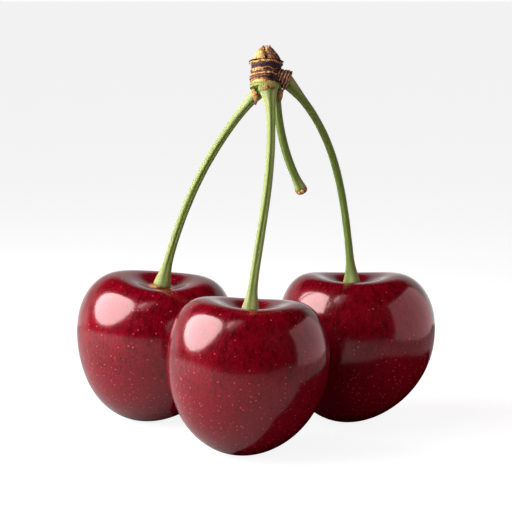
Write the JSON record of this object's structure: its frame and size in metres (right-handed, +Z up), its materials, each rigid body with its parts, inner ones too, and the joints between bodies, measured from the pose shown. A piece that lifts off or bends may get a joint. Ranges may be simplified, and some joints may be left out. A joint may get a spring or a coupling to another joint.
{
  "type": "cherries on stalks",
  "caption": "Ripe sweet cherries on long green stalks that meet at a short ringed woody spur, beside a bare stalk whose fruit has dropped.",
  "frame": {"origin": "on the surface that the fruit stand on, under the middle of the bunch's box", "axes": "+Z up from the fruit to the spur, +X to the viewer's right, -Y towards the single front fruit"},
  "size_m": [0.0614, 0.0462, 0.0652],
  "materials": {
    "skin": "glossy deep red fruit skin with fine pale dots",
    "stalk": "fresh yellow-green stalk, faintly ridged, satin",
    "bark": "rough brown bark with ring scars, matt",
    "scale": "dry papery tan scale, matt",
    "scar": "dry orange-brown stalk scar, matt"
  },
  "bodies": {
    "root": {"cherry_front": "skin", "cherry_left": "skin", "cherry_right": "skin", "stalk_front": "stalk", "stalk_left": "stalk", "stalk_right": "stalk", "bare_stalk": "stalk", "stalk_scar": "scar", "spur": "bark", "side_bud": "bark", "tip_scale_1": "scale", "tip_scale_2": "scale", "tip_scale_3": "scale", "tip_scale_4": "scale", "bract_left": "scale", "bract_front": "scale", "bract_right": "scale", "bract_back": "scale"}
  },
  "joints": []
}
